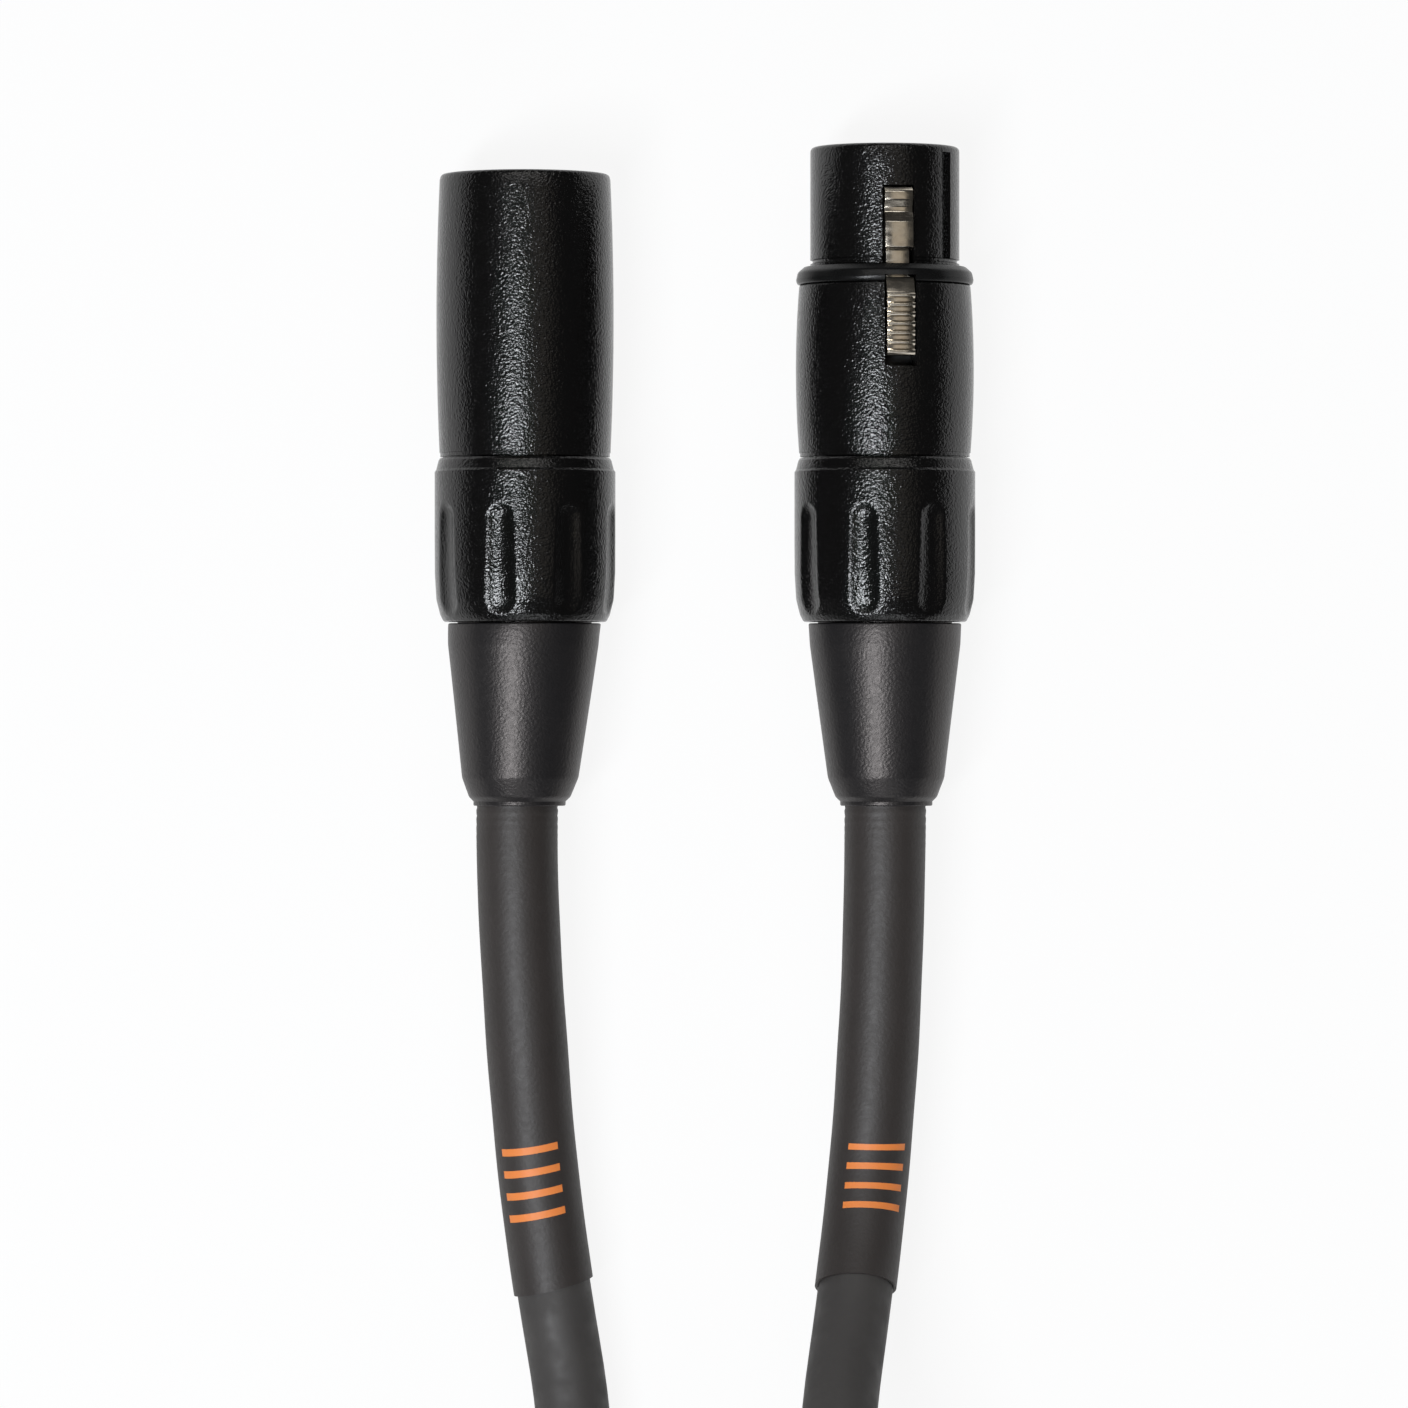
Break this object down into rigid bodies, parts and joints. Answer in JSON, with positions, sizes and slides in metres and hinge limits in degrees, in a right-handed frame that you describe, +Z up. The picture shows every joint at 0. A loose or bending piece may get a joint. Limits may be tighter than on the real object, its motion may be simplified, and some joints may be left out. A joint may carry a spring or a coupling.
{
  "type": "microphone cable",
  "caption": "Balanced microphone cable with a male and a female three-pin locking plug, wound into a tied coil.",
  "frame": {"origin": "on the surface that the cable lies on, under the middle of the box of the two plugs without their cord", "axes": "+Z up from the surface, +Y along the plugs towards their open ends, +X from the male to the female plug"},
  "size_m": [0.0888, 0.2464, 0.0355],
  "materials": {
    "shell_paint": "glossy black paint with fine orange peel over die-cast zinc",
    "nut_paint": "glossy black paint over die-cast zinc",
    "insert_plastic": "matte black glass-filled nylon",
    "boot_rubber": "satin black rubber",
    "ring_rubber": "satin black rubber",
    "nickel": "bright nickel plate",
    "spring_steel": "bare spring steel",
    "contact_metal": "silver-plated brass",
    "chuck_plastic": "matte black acetal",
    "sleeve_tubing": "matte black heat-shrink tubing with a plain printed design",
    "cable_jacket": "matte charcoal jacket of soft PVC",
    "tie_fabric": "black hook-and-loop strap",
    "screen_copper": "twisted bare copper screen",
    "hot_insulation": "white insulation",
    "cold_insulation": "blue insulation"
  },
  "bodies": {
    "root": {"male_shell": "shell_paint", "male_insert": "insert_plastic", "male_pin_1": "contact_metal", "male_pin_2": "contact_metal", "male_pin_3": "contact_metal", "male_chuck": "chuck_plastic", "male_wire_screen": "screen_copper", "male_wire_hot": "hot_insulation", "male_wire_cold": "cold_insulation", "male_sleeve": "sleeve_tubing", "female_shell": "shell_paint", "female_insert": "insert_plastic", "female_contact_1": "contact_metal", "female_contact_2": "contact_metal", "female_contact_3": "contact_metal", "female_collar_ring": "ring_rubber", "female_latch_pin": "spring_steel", "female_latch_spring": "spring_steel", "female_chuck": "chuck_plastic", "female_wire_screen": "screen_copper", "female_wire_hot": "hot_insulation", "female_wire_cold": "cold_insulation", "female_sleeve": "sleeve_tubing", "cable_male_run": "cable_jacket", "cable_coil": "cable_jacket", "cable_female_run": "cable_jacket", "cable_tie": "tie_fabric"},
    "male_boot": {"male_boot": "boot_rubber"},
    "male_nut": {"male_back_nut": "nut_paint"},
    "female_boot": {"female_boot": "boot_rubber"},
    "female_nut": {"female_back_nut": "nut_paint"},
    "latch": {"female_latch": "nickel"}
  },
  "joints": [
    {"name": "male_nut_travel", "type": "slide", "parent": "root", "child": "male_boot", "axis": [0, -1, 0], "range_m": [0, 0.004]},
    {"name": "male_nut_turn", "type": "hinge", "parent": "male_boot", "child": "male_nut", "pos_m": [-0.0193, 0.0022, 0.0097], "axis": [0, -1, 0], "range_deg": [0, 1440]},
    {"name": "female_nut_travel", "type": "slide", "parent": "root", "child": "female_boot", "axis": [0, -1, 0], "range_m": [0, 0.004]},
    {"name": "female_nut_turn", "type": "hinge", "parent": "female_boot", "child": "female_nut", "pos_m": [0.0193, 0.0022, 0.0097], "axis": [0, -1, 0], "range_deg": [0, 1440]},
    {"name": "latch_press", "type": "hinge", "parent": "root", "child": "latch", "pos_m": [0.02022, 0.0299, 0.01553], "axis": [0.9877, 0, -0.1564], "range_deg": [0, 6.5], "stiffness_Nm_per_rad": 0.05, "springref_deg": -6.88, "deforming": ["female_latch_spring"]}
  ],
  "couplings": [
    {"joint": "male_nut_turn", "follows": "male_nut_travel", "rad_per_m": 6283.2},
    {"joint": "female_nut_turn", "follows": "female_nut_travel", "rad_per_m": 6283.2}
  ]
}
